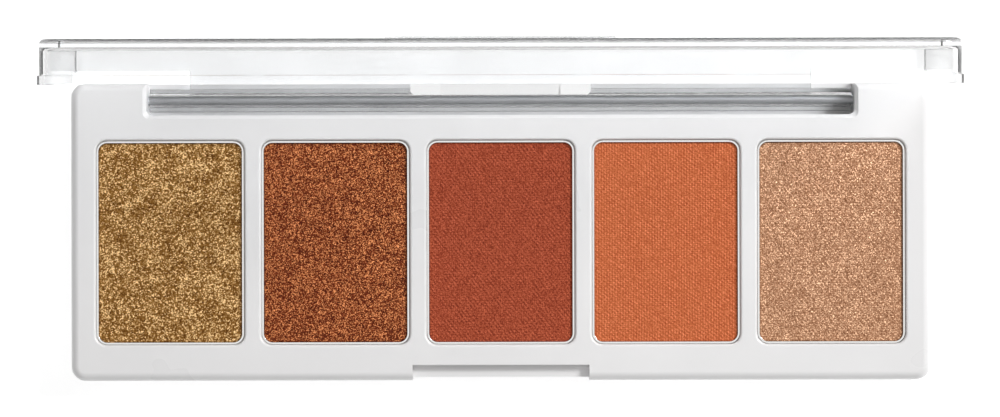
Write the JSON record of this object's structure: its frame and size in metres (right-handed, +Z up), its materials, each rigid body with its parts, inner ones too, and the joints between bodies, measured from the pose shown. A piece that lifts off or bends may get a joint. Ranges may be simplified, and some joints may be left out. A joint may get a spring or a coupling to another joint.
{
  "type": "eyeshadow palette",
  "caption": "Slim eyeshadow palette: white tray with a row of pressed powder pans and a hinged clear lid with a front clasp tab.",
  "frame": {"origin": "centre of the base's underside", "axes": "+X to the right along the row of pans, +Y to the hinge side, +Z up out of the deck"},
  "size_m": [0.127, 0.0499, 0.045],
  "materials": {
    "base_plastic": "satin moulded white",
    "clear_plastic": "clear polished moulded plastic",
    "pan_aluminium": "drawn, fine grain",
    "powder_gold_glitter": "pressed powder with coarse gold glitter",
    "powder_copper_glitter": "pressed powder with copper glitter",
    "powder_brick_matte": "matte pressed powder with a cloth imprint",
    "powder_orange_matte": "matte pressed powder with a cloth imprint",
    "powder_champagne_shimmer": "pressed powder with fine shimmer",
    "glue": "set hot-melt glue",
    "rod_steel": "drawn wire"
  },
  "bodies": {
    "base": {"base_tray": "base_plastic", "bottom_plate": "base_plastic", "pan_1": "pan_aluminium", "pan_2": "pan_aluminium", "pan_3": "pan_aluminium", "pan_4": "pan_aluminium", "pan_5": "pan_aluminium", "powder_1": "powder_gold_glitter", "powder_2": "powder_copper_glitter", "powder_3": "powder_brick_matte", "powder_4": "powder_orange_matte", "powder_5": "powder_champagne_shimmer", "glue_dot_1": "glue", "glue_dot_2": "glue", "glue_dot_3": "glue", "glue_dot_4": "glue", "glue_dot_5": "glue", "hinge_rod": "rod_steel"},
    "lid": {"lid": "clear_plastic"}
  },
  "joints": [
    {"name": "lid_hinge", "type": "hinge", "parent": "base", "child": "lid", "pos_m": [0, 0.01918, 0.003], "axis": [1, 0, 0], "range_deg": [0, 87.76]}
  ]
}
